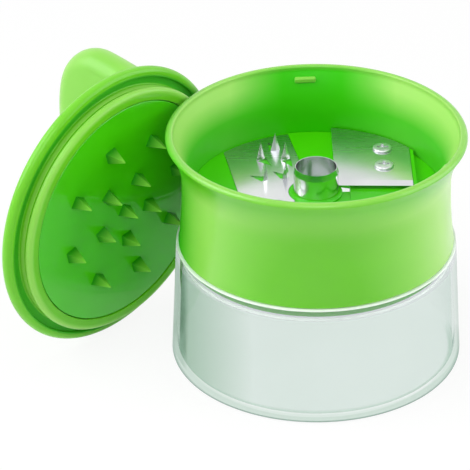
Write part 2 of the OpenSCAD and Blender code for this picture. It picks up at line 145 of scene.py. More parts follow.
# %% A finish
class Finish(Bench):
    """A material: one Principled shader, its constants, and patterns that feed it."""

    def __init__(self, name, constants):
        self.material = bpy.data.materials.new(name)
        self.material.use_nodes = True
        super().__init__(self.material.node_tree)
        self.shader = self.tree.nodes["Principled BSDF"]
        for socket, value in constants.items():
            self.shader.inputs[socket].default_value = value
        self.place = self.node("ShaderNodeTexCoord", output="Object")

    def noise(self, scale, detail=2.0, stretch=(1, 1, 1), turn=0.0):
        place = self.node(
            "ShaderNodeMapping", None, {"Vector": self.place, "Rotation": (0, 0, turn), "Scale": stretch}
        )
        return self.node("ShaderNodeTexNoise", None, {"Vector": place, "Scale": scale, "Detail": detail})

    def along(self, axis):
        """One coordinate of the surface point, in metres."""
        return self.split(self.place, axis)

    def across(self):
        """Distance of the surface point from the upright axis, in metres."""
        x, y = self.along(0), self.along(1)
        return (x * x + y * y) ** 0.5

    def inward(self):
        """1 where the surface looks at the upright axis, 0 where it looks away from it."""
        normal = self.node("ShaderNodeTexCoord", output="Normal")
        out = self.vectors("NORMALIZE", self.vectors("MULTIPLY", self.place, (1, 1, 0)))
        return self.steps(self.vectors("DOT_PRODUCT", normal, out, "Value"), -0.1, -0.6)

    def aslant(self):
        """0 where one looks at the surface, 1 where one looks along it."""
        return self.steps(self.node("ShaderNodeLayerWeight", None, {"Blend": 0.5}, "Facing"), 0.15, 0.65)

    def steps(self, value, low, high):
        """The value's range from low to high spread over 0 to 1."""
        return self.node(
            "ShaderNodeMapRange", {"clamp": True}, {"Value": value, "From Min": low, "From Max": high}
        )

    def blend(self, factor, first, second):
        return self.node(
            "ShaderNodeMix", {"data_type": "RGBA"}, {"Factor": factor, "A": first, "B": second}, "Result"
        )

    def bump(self, height, strength, distance):
        return self.node(
            "ShaderNodeBump", None, {"Height": height, "Strength": strength, "Distance": distance}
        )

    def cover(self, amount, other):
        """Mixes another shader over the Principled one."""
        own = Value(self, self.shader.outputs[0])
        mixed = self.node("ShaderNodeMixShader", None, {0: amount, 1: own, 2: other})
        self.feed(self.tree.nodes["Material Output"].inputs["Surface"], mixed)

    def wear(self, **inputs):
        """Feeds the shader's varying sockets, named with underscores for spaces."""
        for name, value in inputs.items():
            self.feed(self.shader.inputs[name.replace("_", " ")], value)
        return self.material


print("finish class ready")

# %% [markdown]
# The green pieces are injection moulded. The melt leaves slow, faint changes of tone
# where it flowed, the polished mould leaves a satin skin with a very fine grain, and a
# little light goes into the pigment before it comes back. Two rules can be given to a
# green, and both paint light into its colour. One paints shade where a face looks at
# other green faces: light that has gone to and fro between them has lost its yellow, so
# a deeper, duller tone is painted there. The other paints a pale sheen where one looks
# along the skin. The top of the rim gets a painted highlight, a paler tone with more
# coat. Some pieces get a whole shaded or lit copy of the green.

# %% Lime-green moulded plastic
MOUTH, RIM = 0.0423, 0.0830
# Shaded copies of the lime stand for painted shade; paler ones for a painted sheen, highlight and light.
LIME, SHADED_LIME, INNER_SHADE_LIME = (0.123, 0.542, 0.002), (0.055, 0.53, 0.0004), (0.035, 0.51, 0.0003)
PAINTED_SHEEN_LIME, HIGHLIGHT_LIME, LIT_LIME = (0.40, 0.75, 0.16), (0.30, 0.62, 0.10), (0.19, 0.56, 0.04)


def shade(colour, factor):
    """A colour made lighter or darker, with its alpha."""
    return tuple(c * factor for c in colour) + (1,)


def moulded(name, tone, second=None, where=None, painted_sheen=None, coat=1.0, polish=0.25, painted_highlight=0.0):
    """A moulded green; rules paint shade (the second tone) and a sheen, and the rim's top can get a painted
    highlight.
    """
    green = Finish(
        name,
        {
            "IOR": 1.5,
            "Specular IOR Level": 0.12,
            "Subsurface Weight": 0.12,
            "Subsurface Radius": (0.6, 1.0, 0.2),
            "Subsurface Scale": 0.002,
            "Coat Roughness": polish,
        },
    )
    streak = green.steps(green.noise(26, 3, (1, 1, 2.2)), 0.3, 0.7)
    grain = green.noise(1900, 2)
    smudge = green.steps(green.noise(90, 4), 0.35, 0.75)
    # Painted highlight on the top of the rim: a paler tone and more coat.
    rim = painted_highlight * green.steps(green.along(2), RIM - 0.0018, RIM)
    colour = green.blend(streak, shade(tone, 0.96), shade(tone, 1.04))
    gloss = coat - 0.15 * coat * smudge
    # Painted shade: the second, deeper tone goes where the rule says.
    if second:
        inside = where(green)
        colour = green.blend(inside, colour, green.blend(streak, shade(second, 0.96), shade(second, 1.04)))
        gloss = gloss * (1 - 0.95 * inside)
    # Painted sheen: a pale tone blended in where the rule says.
    if painted_sheen:
        colour = green.blend(painted_sheen(green), colour, shade(PAINTED_SHEEN_LIME, 1))
    print("made", name)
    return green.wear(
        Base_Color=green.blend(rim, colour, shade(HIGHLIGHT_LIME, 1)),
        Roughness=0.38 + 0.08 * smudge + 0.05 * grain,
        Coat_Weight=(gloss + rim).at_most(1),
        Normal=green.bump(grain, 0.18, 0.00002),
    )


def shell_painted_shade(green):
    """1 where shade is painted on the housing: inside, on the skirt in the cup, beside the holder."""
    skirt = green.steps(green.along(2), MOUTH + 0.0001, MOUTH - 0.0002)
    beside = green.steps(green.along(0), -0.039, -0.046)
    return (green.inward() + skirt + beside).at_most(1)


def shell_painted_sheen(green):
    """A painted sheen on the belly outside, and on both sides of the flare inside."""
    z, x = green.along(2), green.along(0)
    inside, flare = green.inward(), green.steps(z, 0.070, 0.0785)
    belly = (1 - flare) * green.steps(z, MOUTH - 0.0002, MOUTH + 0.0001)
    belly = belly * green.steps(x, -0.046, -0.036) * green.aslant()
    sides = green.steps(x * x, 0.0001, 0.0008) * (0.12 + 0.88 * flare)
    return 0.9 * (inside * sides + (1 - inside) * belly)


def grip_painted_sheen(green):
    """A painted sheen where one looks along the wing."""
    return 0.4 * green.aslant()


shell_green = moulded("lime_green_shell", LIME, INNER_SHADE_LIME, shell_painted_shade, shell_painted_sheen, painted_highlight=0.6)
# The deck, collar and spike plate get the shaded copy of the green: painted shade.
shaded_green = moulded("lime_green_deep", SHADED_LIME, coat=0.5)
disc_green = moulded("lime_green_disc", SHADED_LIME, coat=0.85, polish=0.06)
# The wing and the lugs get a paler, lit copy of the green: painted light.
lit_green = moulded("lime_green_grip", LIT_LIME, painted_sheen=grip_painted_sheen, polish=0.42)

# %% [markdown]
# The cup is clear polystyrene or acrylic. Thick clear walls show a faint cold green
# tint, most of all where one looks along a wall or through the corner at the foot, and
# the melt leaves them a touch uneven, so straight reflections wobble. On the left the
# tint is painted darker and greener, a painted reflection and shade of the holder beside
# it, and a thin dark line along the front of the foot is a painted contact shadow. The
# turned lip and the small bead below it, on which the housing's skirt stands, are frosted
# and collect light; the land between them is slightly hazy and painted darker, a painted
# shade of the skirt behind it. Bending is kept low and a clear coat gives the
# reflections, because a renderer that follows only a few bounces would show a thick clear
# foot as black.

# %% Clear plastic
clear = Finish(
    "clear_plastic", {"IOR": 1.01, "Transmission Weight": 1.0, "Coat IOR": 1.5, "Coat Roughness": 0.03}
)
ripple = clear.noise(28, 1.5, (1, 1, 0.35))
haze = clear.noise(240, 3)
LIP_LOW, BEAD_TOP, BEAD_LOW = 0.0417, 0.0382, 0.0370
x, height, reach = clear.along(0), clear.along(2), clear.across()
facing = clear.node("ShaderNodeLayerWeight", None, {"Blend": 0.5}, "Facing")
outside = clear.steps(reach + 0.052 * height, 0.0478, 0.0488)
near = clear.steps(clear.along(1), 0.012, 0.0)
foot = near * clear.steps(reach, 0.0452, 0.0460) * clear.steps(height, 0.0040, 0.0032)
# Painted contact shadow: a thin dark line along the front of the foot.
painted_contact_shade = near * outside * clear.steps(height, 0.0012, 0.0008)
# The land between lip and bead: a painted shade of the skirt behind it, and a little haze.
land_shade_and_haze = clear.steps(height, BEAD_TOP - 0.0002, BEAD_TOP + 0.0001)
land_shade_and_haze = land_shade_and_haze * clear.steps(height, LIP_LOW, LIP_LOW - 0.0002)
tint = clear.blend(clear.steps(ripple, 0.3, 0.7), (0.83, 0.885, 0.86, 1), (0.85, 0.90, 0.88, 1))
deeper = [
    # The first two tints are a painted reflection and shade of the holder on the left side.
    (clear.steps(x, -0.022, -0.052), (0.55, 0.69, 0.59, 1)),
    (clear.steps(x, -0.0440, -0.0455), (0.36, 0.5, 0.4, 1)),
    (outside * facing ** 4, (0.5, 0.6, 0.55, 1)),
    (foot, (0.62, 0.74, 0.67, 1)),
    (land_shade_and_haze, (0.66, 0.66, 0.72, 1)),
    (painted_contact_shade, (0.22, 0.33, 0.28, 1)),
]
for amount, colour in deeper:
    tint = clear.blend(amount, tint, colour)
clear.wear(
    Base_Color=tint,
    Roughness=0.015 + 0.025 * clear.steps(haze, 0.45, 0.8),
    Coat_Weight=outside * clear.steps(facing, 0.7, 0.3),
    Normal=clear.bump(ripple, 0.05, 0.0006),
)
frost = clear.node(
    "ShaderNodeBsdfPrincipled", None, {"Base Color": (0.9, 0.97, 0.9, 1), "Roughness": 0.4, "IOR": 1.5}
)
lip = clear.steps(height, LIP_LOW, LIP_LOW + 0.00015)
bead = clear.steps(height, BEAD_LOW, BEAD_LOW + 0.0002) * clear.steps(height, BEAD_TOP, BEAD_TOP - 0.0002)
bead = bead * clear.steps(reach, 0.0456, 0.0454)
frosted = 0.85 * (lip + bead).at_most(1) + 0.16 * land_shade_and_haze * outside
clear.cover(frosted, frost)
clear_plastic = clear.material
print("made", clear_plastic.name)

# %% [markdown]
# The plates and the corer are bright stainless strip. Rolling leaves fine lines in one
# direction, so their noise is squeezed hard across that direction. They are close to
# mirrors, so what they show is mostly the green wall and the white room. A stamped plate
# is never quite flat: a very shallow bow, written as a bump, decides how much of the room
# it shows. Towards the wall they are rougher, and their colour is painted darker there,
# a painted shade of the wall.

# %% Bright rolled steel
steel = Finish("bright_rolled_steel", {"Metallic": 1.0, "IOR": 2.5})
rolled = steel.noise(60, 3, (1.0, 34.0, 1.0), radians(8))
clouds = steel.noise(70, 3)
side = (steel.along(0) * steel.along(0)) ** 0.5
bowed = steel.along(1) * (0.055 - 1.1 * side)
# Towards the back wall: rougher, and a painted shade in the colour.
wall_shade_and_dull = steel.steps(steel.along(1), 0.0, 0.03)
bright = steel.blend(steel.steps(clouds, 0.3, 0.75), (0.72, 0.735, 0.75, 1), (0.83, 0.84, 0.85, 1))
blade_steel = steel.wear(
    Base_Color=steel.blend(0.6 * wall_shade_and_dull, bright, (0.42, 0.43, 0.46, 1)),
    Roughness=0.11 + 0.09 * rolled + 0.05 * clouds + 0.1 * wall_shade_and_dull,
    Normal=steel.bump(bowed + 0.0000016 * rolled, 1.0, 1.0),
)
print("made", blade_steel.name)

# %% [markdown]
# The screws are zinc plated, a softer and slightly bluer grey with tiny blotches of
# crystal and a duller recess where the driver has been.

# %% Zinc-plated screws
zinc = Finish("zinc_plated_screw", {"Metallic": 1.0, "IOR": 2.0})
crystal = zinc.noise(1500, 3)
screw_steel = zinc.wear(
    Base_Color=zinc.blend(zinc.steps(crystal, 0.35, 0.7), (0.60, 0.62, 0.65, 1), (0.78, 0.79, 0.80, 1)),
    Roughness=0.36 + 0.14 * crystal,
    Normal=zinc.bump(crystal, 0.1, 0.00001),
)
print("made", screw_steel.name)

# %% [markdown]
# A recipe is a Geometry Nodes tree with named sizes. It is applied to a small starting
# mesh, the result is turned into a plain mesh at once, and the modifier goes with the
# object that carried it. Everything is drawn in millimetres and settled into metres at
# the end, so the sizes read as they would on a drawing.

# %% Recipes in Geometry Nodes
KINDS = {int: "NodeSocketInt", float: "NodeSocketFloat", tuple: "NodeSocketVector"}


class Recipe(Bench):
    """A Geometry Nodes tree: named sizes in, realised and coloured geometry out."""

    def __init__(self, name, sizes):
        super().__init__(bpy.data.node_groups.new(name, "GeometryNodeTree"))
        face = self.tree.interface
        face.new_socket("Geometry", in_out="INPUT", socket_type="NodeSocketGeometry")
        face.new_socket("Geometry", in_out="OUTPUT", socket_type="NodeSocketGeometry")
        self.identifier = {}
        for label, value in sizes.items():
            item = face.new_socket(label, in_out="INPUT", socket_type=KINDS[type(value)])
            item.default_value = value
            self.identifier[label] = item.identifier
        item = face.new_socket("Finish", in_out="INPUT", socket_type="NodeSocketMaterial")
        self.identifier["Finish"] = item.identifier
        self.start = self.tree.nodes.new("NodeGroupInput")
        self.end = self.tree.nodes.new("NodeGroupOutput")

    def given(self, label):
        return Value(self, self.start.outputs[label])

    def point(self, x, y, z):
        return self.node("ShaderNodeCombineXYZ", None, {0: x, 1: y, 2: z})

    def close(self, geometry):
        real = self.node("GeometryNodeRealizeInstances", None, {"Geometry": geometry})
        coloured = self.node(
            "GeometryNodeSetMaterial", None, {"Geometry": real, "Material": self.given("Finish")}
        )
        self.feed(self.end.inputs["Geometry"], coloured)
        return self


def cook(recipe, start, finish, **sizes):
    """Applies a recipe to a starting mesh and returns the plain mesh that comes out."""
    carrier = bpy.data.objects.new("carrier", start)
    bpy.context.scene.collection.objects.link(carrier)
    modifier = carrier.modifiers.new("recipe", "NODES")
    modifier.node_group = recipe.tree
    modifier[recipe.identifier["Finish"]] = finish
    for label, value in sizes.items():
        modifier[recipe.identifier[label.replace("_", " ")]] = value
    depsgraph = bpy.context.evaluated_depsgraph_get()
    mesh = bpy.data.meshes.new_from_object(carrier.evaluated_get(depsgraph))
    bpy.data.objects.remove(carrier)
    return mesh


print("recipe class ready")

# %% [markdown]
# A finished mesh is settled: doubles merged, faces turned outwards, soft shading with
# crisp creases, and millimetres turned into metres in its final place. The object itself
# stays at the origin, as the frame's own nodes do, so textures don't slide.

# %% Settle a mesh as a riding piece
TO_METRES, SAME_POINT = Matrix.Scale(0.001, 4), 0.002


def settle(name, mesh, finish, body, stands_for=(), place=None, crease=35, outwards=True):
    """Turns a mesh in millimetres into a piece that rides on a body of the frame."""
    work = bmesh.new()
    work.from_mesh(mesh)
    bmesh.ops.remove_doubles(work, verts=work.verts, dist=SAME_POINT)
    if outwards:
        bmesh.ops.recalc_face_normals(work, faces=work.faces)
    open_edges = sum(1 for e in work.edges if not e.is_manifold)
    work.to_mesh(mesh)
    work.free()
    mesh.transform(TO_METRES @ (place or Matrix.Identity(4)))
    mesh.shade_smooth()
    mesh.set_sharp_from_angle(angle=radians(crease))
    mesh.materials.clear()
    mesh.materials.append(finish)
    mesh.name = name
    piece = bpy.data.objects.new(name, mesh)
    bpy.context.scene.collection.objects.link(piece)
    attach(piece, body)
    for node in stands_for:
        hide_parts(node)
    print(f"{name}: {len(mesh.polygons)} faces, {open_edges} open edges, rides {body}")
    return piece


def arc(centre, radius, first, last, steps=8):
    """Points of an arc in a section, from one angle to another in degrees."""
    angles = [radians(first + (last - first) * i / steps) for i in range(steps + 1)]
    return [(centre[0] + radius * cos(a), centre[1] + radius * sin(a)) for a in angles]


def mesh_of(work, name):
    """The plain mesh that a bmesh holds; the bmesh is given back."""
    mesh = bpy.data.meshes.new(name)
    work.to_mesh(mesh)
    work.free()
    return mesh


def chain(points):
    """A mesh that only holds a row of section points, radius along X and height along Z."""
    mesh = bpy.data.meshes.new("section")
    mesh.from_pydata([(r, 0, z) for r, z in points], [], [])
    return mesh


print("settling ready, scale", TO_METRES[0][0])

# %% [markdown]
# Most of this tool is turned work: cup, housing, corer, cap. A screw modifier would do,
# but a recipe keeps the sizes named and leaves room for a rule. A flat grid is laid out
# with one row for each section point; every grid point looks up its section point by
# row number and swings it round the axis. Merging closes the seam and the poles.

# %% Recipe for turned pieces
def swing(recipe, section):
    """Adds the nodes that turn a row of section points round the vertical axis."""
    rows, around = recipe.given("Rows"), recipe.given("Around")
    grid = recipe.node(
        "GeometryNodeMeshGrid", None,
        {"Size X": 1.0, "Size Y": 1.0, "Vertices X": rows, "Vertices Y": around + 1},
    )
    spot = recipe.node("GeometryNodeInputPosition")
    across = (recipe.split(spot, 0) + 0.5) * (rows - 1)
    row = recipe.node("ShaderNodeMath", {"operation": "ROUND"}, {0: across})
    angle = (recipe.split(spot, 1) + 0.5) * (2 * pi)
    found = recipe.node(
        "GeometryNodeSampleIndex", {"data_type": "FLOAT_VECTOR", "domain": "POINT"},
        {"Geometry": section, "Value": spot, "Index": row},
    )
    radius, height = recipe.split(found, 0), recipe.split(found, 2)
    swung = recipe.point(radius * angle.cosine(), radius * angle.sine(), height)
    surface = recipe.node("GeometryNodeSetPosition", None, {"Geometry": grid, "Position": swung})
    return recipe.node("GeometryNodeMergeByDistance", None, {"Geometry": surface, "Distance": SAME_POINT})


turning = Recipe("turned_piece", {"Rows": 2, "Around": 96})
turning.close(swing(turning, turning.given("Geometry")))


def turned(points, finish, around=128, loop=False):
    """A turned mesh from section points; a loop of points is closed on its first one."""
    points = points + points[:1] if loop else points
    return cook(turning, chain(points), finish, Rows=len(points), Around=around)


print("recipe ready:", turning.tree.name)

# %% [markdown]
# The cup narrows slightly from its foot to its mouth, so it stands firm. Its section is
# drawn from the middle of the underside, up the outside, over the lip and back down
# inside, past the small bead that the housing's skirt stands on.

# %% The clear cup
cup_h, cup_base_r, cup_mouth_r, cup_wall, cup_floor = 42.3, 49.4, 47.2, 2.2, 1.8
cup_inner_mouth, cup_inner_base = cup_mouth_r - cup_wall, cup_base_r - cup_wall
cup_foot_round, cup_lip_round, cup_lip_inside, cup_corner = 1.0, 0.5, 0.4, 1.5
bead_steps = [(0.2, 38.3), (0.0, 38.1), (-0.1, 37.7), (0.0, 37.3), (0.28, 37.1)]
cup_section = (
    [(0, 0), (30, 0)]
    + arc((cup_base_r - cup_foot_round, cup_foot_round), cup_foot_round, -90, 0)
    + [(cup_base_r + (cup_mouth_r - cup_base_r) * i / 6, cup_h * i / 6) for i in range(1, 6)]
    + arc((cup_mouth_r - cup_lip_round, cup_h - cup_lip_round), cup_lip_round, 0, 90, 5)
    + arc((cup_inner_mouth + cup_lip_inside, cup_h - cup_lip_inside), cup_lip_inside, 90, 180, 4)
    + [(cup_inner_mouth + step, z) for step, z in bead_steps]
    + arc((cup_inner_base - cup_corner, cup_floor + cup_corner), cup_corner, 0, -90, 10)
    + [(30, cup_floor), (0, cup_floor)]
)
settle(
    "cup_turned", turned(cup_section, clear_plastic, 160), clear_plastic,
    "container", ["container_cup"],
)

# %% [markdown]
# The housing is the main piece and follows a rule: from a narrow waist the wall swings
# out to the rim as a power of the height, and out to the foot as a square. The section
# is drawn as if the wall were straight, as distances in from the outer face, and the
# recipe bends it by the rule before it swings it round. Each size is a named input.

# %% Recipe for the flared housing
waist_z, lip_z = 64.8, 81.5
foot_r, waist_r, rim_r, flare_power = 46.4, 44.9, 50.0, 2.2
flaring = Recipe(
    "flared_housing",
    {
        "Rows": 2, "Around": 128, "Foot Height": cup_h, "Waist Height": waist_z, "Lip Height": lip_z,
        "Foot Radius": foot_r, "Waist Radius": waist_r, "Rim Radius": rim_r, "Flare Power": flare_power,
    },
)
strip = flaring.node("GeometryNodeInputPosition")
inset, level = flaring.split(strip, 0), flaring.split(strip, 2)
waist = flaring.given("Waist Height")
below = ((waist - level) / (waist - flaring.given("Foot Height"))).at_least(0).at_most(1)
above = ((level - waist) / (flaring.given("Lip Height") - waist)).at_least(0).at_most(1)
bent = (
    flaring.given("Waist Radius")
    + (flaring.given("Foot Radius") - flaring.given("Waist Radius")) * below ** 2
    + (flaring.given("Rim Radius") - flaring.given("Waist Radius")) * above ** flaring.given("Flare Power")
    - inset
)
flared_strip = flaring.node(
    "GeometryNodeSetPosition", None,
    {"Geometry": flaring.given("Geometry"), "Position": flaring.point(bent, 0.0, level)},
)
flaring.close(swing(flaring, flared_strip))
print("recipe ready:", flaring.tree.name)

# %% [markdown]
# The straight section of that wall: the outside, the rounded lip, the inside down to the
# ledge that carries the deck, and the skirt that stands in the cup. A point that belongs
# at a fixed radius is written as its distance from the outer face at its height.

# %% The flared housing
rim_z, wall, foot_round, lip_round, lip_inside = 83.0, 2.6, 0.5, 1.5, 0.8
ledge_z, ledge_low, ledge_r, bore_r = 56.5, 54.0, 37.3, 42.3
skirt_r, skirt_z = 44.7, 38.3


def outer_r(z):
    """Outer radius of the housing's wall at a height."""
    low = min(max((waist_z - z) / (waist_z - cup_h), 0), 1)
    high = min(max((z - waist_z) / (lip_z - waist_z), 0), 1)
    return waist_r + (foot_r - waist_r) * low ** 2 + (rim_r - waist_r) * high ** flare_power


def inside(points):
    """Section points at fixed radii, written as distances in from the outer face."""
    return [(outer_r(z) - r, z) for r, z in points]


def heights(first, last, steps):
    return [first + (last - first) * i / steps for i in range(steps + 1)]


housing_strip = (
    inside([(skirt_r, skirt_z + 0.4), (skirt_r, cup_h + 0.05)])
    + inside(arc((outer_r(cup_h) - foot_round, cup_h + foot_round + 0.05), foot_round, -90, 0, 4))
    + [(0, z) for z in heights(cup_h + 1.2, lip_z, 44)]
    + inside(arc((rim_r - lip_round, lip_z), lip_round, 0, 90, 8)[1:])
    + inside(arc((rim_r - wall + lip_inside, rim_z - lip_inside), lip_inside, 90, 180, 6))
    + [(wall, z) for z in heights(lip_z, waist_z, 24)]
    + inside([(bore_r, waist_z - 1), (bore_r, ledge_z), (ledge_r, ledge_z), (ledge_r, ledge_low)])
    + inside([(bore_r, ledge_low), (bore_r, skirt_z), (skirt_r - 0.4, skirt_z)])
)
housing_strip.append(housing_strip[0])
housing_mesh = cook(flaring, chain(housing_strip), shell_green, Rows=len(housing_strip), Around=192)
settle(
    "housing_flared", housing_mesh, shell_green, "cutter", ["cutter_housing"]
)

# %% [markdown]
# Things that stand in a ring share one rule: each place gets its angle from its number,
# and the thing on it is turned to face the middle. It serves the snap lugs inside the rim
# and, later on, the spikes of the holder. A small block with rounded edges is the thing
# for the lugs.

# %% Recipe for things in a ring
def block(size, round_off, steps=3):
    """A small block with rounded edges, standing with its middle at the origin."""
    work = bmesh.new()
    bmesh.ops.create_cube(work, size=1)
    bmesh.ops.scale(work, vec=Vector(size), verts=work.verts)
    bmesh.ops.bevel(
        work, geom=work.edges[:], offset=round_off, segments=steps, profile=0.5, affect="EDGES"
    )
    return mesh_of(work, "block")


def ring_of(recipe, thing, count, radius, turn):
    """Adds the nodes that stand a thing at each place of a ring."""
    number = recipe.node("GeometryNodeInputIndex")
    angle = number * (2 * pi) / count + turn
    places = recipe.node(
        "GeometryNodePoints", None,
        {"Count": count, "Position": recipe.point(radius * angle.cosine(), radius * angle.sine(), 0.0)},
    )
    facing = recipe.node("FunctionNodeAxisAngleToRotation", None, {"Axis": (0, 0, 1), "Angle": angle})
    return recipe.node(
        "GeometryNodeInstanceOnPoints", None, {"Points": places, "Instance": thing, "Rotation": facing}
    )


ringing = Recipe("ring_of_things", {"Count": 3, "Radius": 45.0, "Turn": 0.0})
ringing.close(ring_of(ringing, *(ringing.given(label) for label in ("Geometry", "Count", "Radius", "Turn"))))
print("recipe ready:", ringing.tree.name)

# %% [markdown]
# Small lugs inside the rim hold a lid shut. The photograph shows one, at the back; three
# at equal angles are the fewest that hold a lid all round. Each is sunk a little into
# the wall, so that only its rounded edge stands out.

# %% Snap lugs inside the rim
lug_z = 78.6
lug_mesh = cook(
    ringing, block((2.4, 7.3, 1.8), 0.5), lit_green,
    Count=3, Radius=outer_r(lug_z) - wall + 0.2, Turn=radians(93),
)
settle(
    "snap_lugs", lug_mesh, lit_green, "cutter", place=Matrix.Translation((0, 0, lug_z))
)

# %% [markdown]
# The scoring plate is strip with five narrow triangles cut free on two sides and bent
# up. Such a plate is drawn as an outline with windows, filled with triangles and given
# its thickness. A straight side that ends on the deck's round edge, or on the clearance
# round the corer, ends where its line meets that circle.

# %% Helpers for sheet metal
deck_z, plate_r, blade_thick = 60.0, 41.6, 0.8


def meet(a, b, radius, last=False):
    """Where the line from a to b crosses a circle about the axis, first or last."""
    a, b = Vector(a), Vector(b)
    d = b - a
    half, c = a.dot(d) / d.dot(d), (a.dot(a) - radius * radius) / d.dot(d)
    root = sqrt(max(half * half - c, 0))
    return tuple(a + d * (-half + (root if last else -root)))


def round_between(a, b, steps, way=1):
    """Points on the circle through a and b about the axis, without its ends; way is the turning sense."""
    first, last = atan2(a[1], a[0]), atan2(b[1], b[0])
    if way > 0 and last < first:
        last += 2 * pi
    if way < 0 and last > first:
        last -= 2 * pi
    r = hypot(*a)
    angles = [first + (last - first) * i / steps for i in range(1, steps)]
    return [(r * cos(t), r * sin(t)) for t in angles]


def sheet(outline, windows, low, high):
    """A flat plate with windows in it, between two heights."""
    work = bmesh.new()
    for loop in [outline] + windows:
        corners = [work.verts.new((x, y, high)) for x, y in loop]
        for i, corner in enumerate(corners):
            work.edges.new((corners[i - 1], corner))
    bmesh.ops.triangle_fill(work, use_beauty=True, use_dissolve=False, edges=work.edges[:])
    grown = bmesh.ops.extrude_face_region(work, geom=work.faces[:])["geom"]
    bmesh.ops.translate(
        work, vec=(0, 0, low - high), verts=[v for v in grown if isinstance(v, bmesh.types.BMVert)]
    )
    bmesh.ops.recalc_face_normals(work, faces=work.faces)
    return mesh_of(work, "sheet")


def circle(centre, radius, steps=32):
    return [
        (centre[0] + radius * cos(2 * pi * i / steps), centre[1] + radius * sin(2 * pi * i / steps))
        for i in range(steps)
    ]


print("sheet thickness in mm:", blade_thick, "outer radius:", plate_r)

# %% [markdown]
# The outline follows the housing's wall outside and keeps clear of the corer inside.
# Each tooth has left a window of its own shape beside it, and two round holes take the
# screws. The teeth's places were read off the photograph, one by one.

# %% The scoring plate
teeth = [(-18.2, 23.1, -1), (-13.1, 29.3, 1), (-9.8, 22.9, -1), (-16.7, 8.7, 1), (-9.9, 9.9, 1)]
tooth_h, tooth_w, score_spots, screw_hole_r = 6.5, 3.8, [(-20.0, -9.5), (-13.0, -9.5)], 1.55
left_back, left_front, right_front = (-31, 30), (-23.5, -15), (-8, -15)
right_mid, right_back = (-5.2, 22), (-9, 43)
tube_round = 9.3
outer_left = meet(left_front, left_back, plate_r, True)
outer_right = meet(right_mid, right_back, plate_r, True)
low_side = meet(right_front, right_mid, tube_round)
high_side = meet(right_front, right_mid, tube_round, True)
score_outline = (
    [outer_left, left_front, right_front, low_side]
    + round_between(low_side, high_side, 14, -1)
    + [high_side, right_mid, outer_right]
    + round_between(outer_right, outer_left, 24)
)


def tooth_turn(x, y, side):
    """Angle of a tooth's width, along its circle; its window lies on its left."""
    return atan2(y, x) - side * pi / 2


def tooth_window(x, y, side):
    """The triangle that a tooth was bent up out of."""
    turn = tooth_turn(x, y, side)
    along, out = Vector((cos(turn), sin(turn))), Vector((-sin(turn), cos(turn)))
    spots = [along * -tooth_w / 2 + out * 0.55, along * tooth_w / 2 + out * 0.55, out * (tooth_h - 0.3)]
    return [tuple(Vector((x, y)) + s) for s in spots]


windows = [tooth_window(*t) for t in teeth] + [circle(spot, screw_hole_r, 20) for spot in score_spots]
score_mesh = sheet(score_outline, windows, deck_z - blade_thick, deck_z)
settle(
    "scoring_sheet", score_mesh, blade_steel, "cutter", ["scoring_plate"], crease=25
)

# %% [markdown]
# The teeth themselves repeat, so they are a recipe too: a four-sided cone squeezed flat
# gives a lancet with a ridge down its middle, which is how a bent and ground tooth
# catches light. Each place carries its own turn as an attribute on its point.

# %% Recipe for the teeth
toothing = Recipe("bent_up_teeth", {"Height": tooth_h, "Width": tooth_w, "Thickness": 1.3, "Sink": 0.5})
width, sink = toothing.given("Width"), toothing.given("Sink")
cone = toothing.node(
    "GeometryNodeMeshCone", {"fill_type": "NGON"},
    {
        "Vertices": 4, "Side Segments": 1, "Radius Top": 0.06,
        "Radius Bottom": width / 2, "Depth": toothing.given("Height") + sink,
    },
)
lancet = toothing.node(
    "GeometryNodeTransform", None,
    {
        "Geometry": cone,
        "Translation": toothing.point(0.0, 0.0, sink * -1),
        "Scale": toothing.point(1.0, toothing.given("Thickness") / width, 1.0),
    },
)
own_turn = toothing.node("GeometryNodeInputNamedAttribute", {"data_type": "FLOAT"}, {"Name": "turn"})
standing = toothing.node("FunctionNodeAxisAngleToRotation", None, {"Axis": (0, 0, 1), "Angle": own_turn})
toothing.close(
    toothing.node(
        "GeometryNodeInstanceOnPoints", None,
        {"Points": toothing.given("Geometry"), "Instance": lancet, "Rotation": standing},
    )
)
print("recipe ready:", toothing.tree.name)

# %% [markdown]
# Five points carry the teeth's turns, and the recipe does the rest: another tooth would
# only need another point. The creases stay sharp, as grinding leaves them.

# %% Teeth on the scoring plate
tooth_points = bpy.data.meshes.new("tooth_places")
tooth_points.from_pydata([(x, y, deck_z) for x, y, side in teeth], [], [])
turns = tooth_points.attributes.new("turn", "FLOAT", "POINT")
for i, t in enumerate(teeth):
    turns.data[i].value = tooth_turn(*t)
settle(
    "scoring_teeth", cook(toothing, tooth_points, blade_steel),
    blade_steel, "cutter", crease=10,
)

# %% [markdown]
# The corer is a thin tube, ground to an edge round its top and flared at its foot where
# it is held under the deck. It is turned from a closed loop of section points.

# %% The corer tube
tube_r, tube_in, tube_top, tube_bevel = 7.5, 6.8, 69.6, 2.0
tube_foot_r, tube_low, foot_top = 8.2, 54.5, 55.3
tube_loop = (
    [(tube_in, tube_low), (tube_foot_r, tube_low), (tube_foot_r, foot_top), (tube_r, foot_top)]
    + [(tube_r, z) for z in (58, 61, 64)]
    + [(tube_r, tube_top - tube_bevel - 0.05), (tube_r - 0.04, tube_top - tube_bevel + 0.05)]
    + [(tube_in + 0.15, tube_top), (tube_in, tube_top - 0.05), (tube_in, 62)]
)
settle(
    "corer_turned", turned(tube_loop, blade_steel, 96, loop=True), blade_steel,
    "cutter", ["corer_tube"], crease=12,
)

# %% [markdown]
# Both plates are held by pan-head screws with a cross recess. Their heads are low and
# flat, with a small round at the edge. One screw is turned, the cross is cut with two
# thin blocks, and a recipe stands the screw at both ends of a line.

# %% One pan-head screw
def bare_object(name, mesh):
    made = bpy.data.objects.new(name, mesh)
    bpy.context.scene.collection.objects.link(made)
    return made


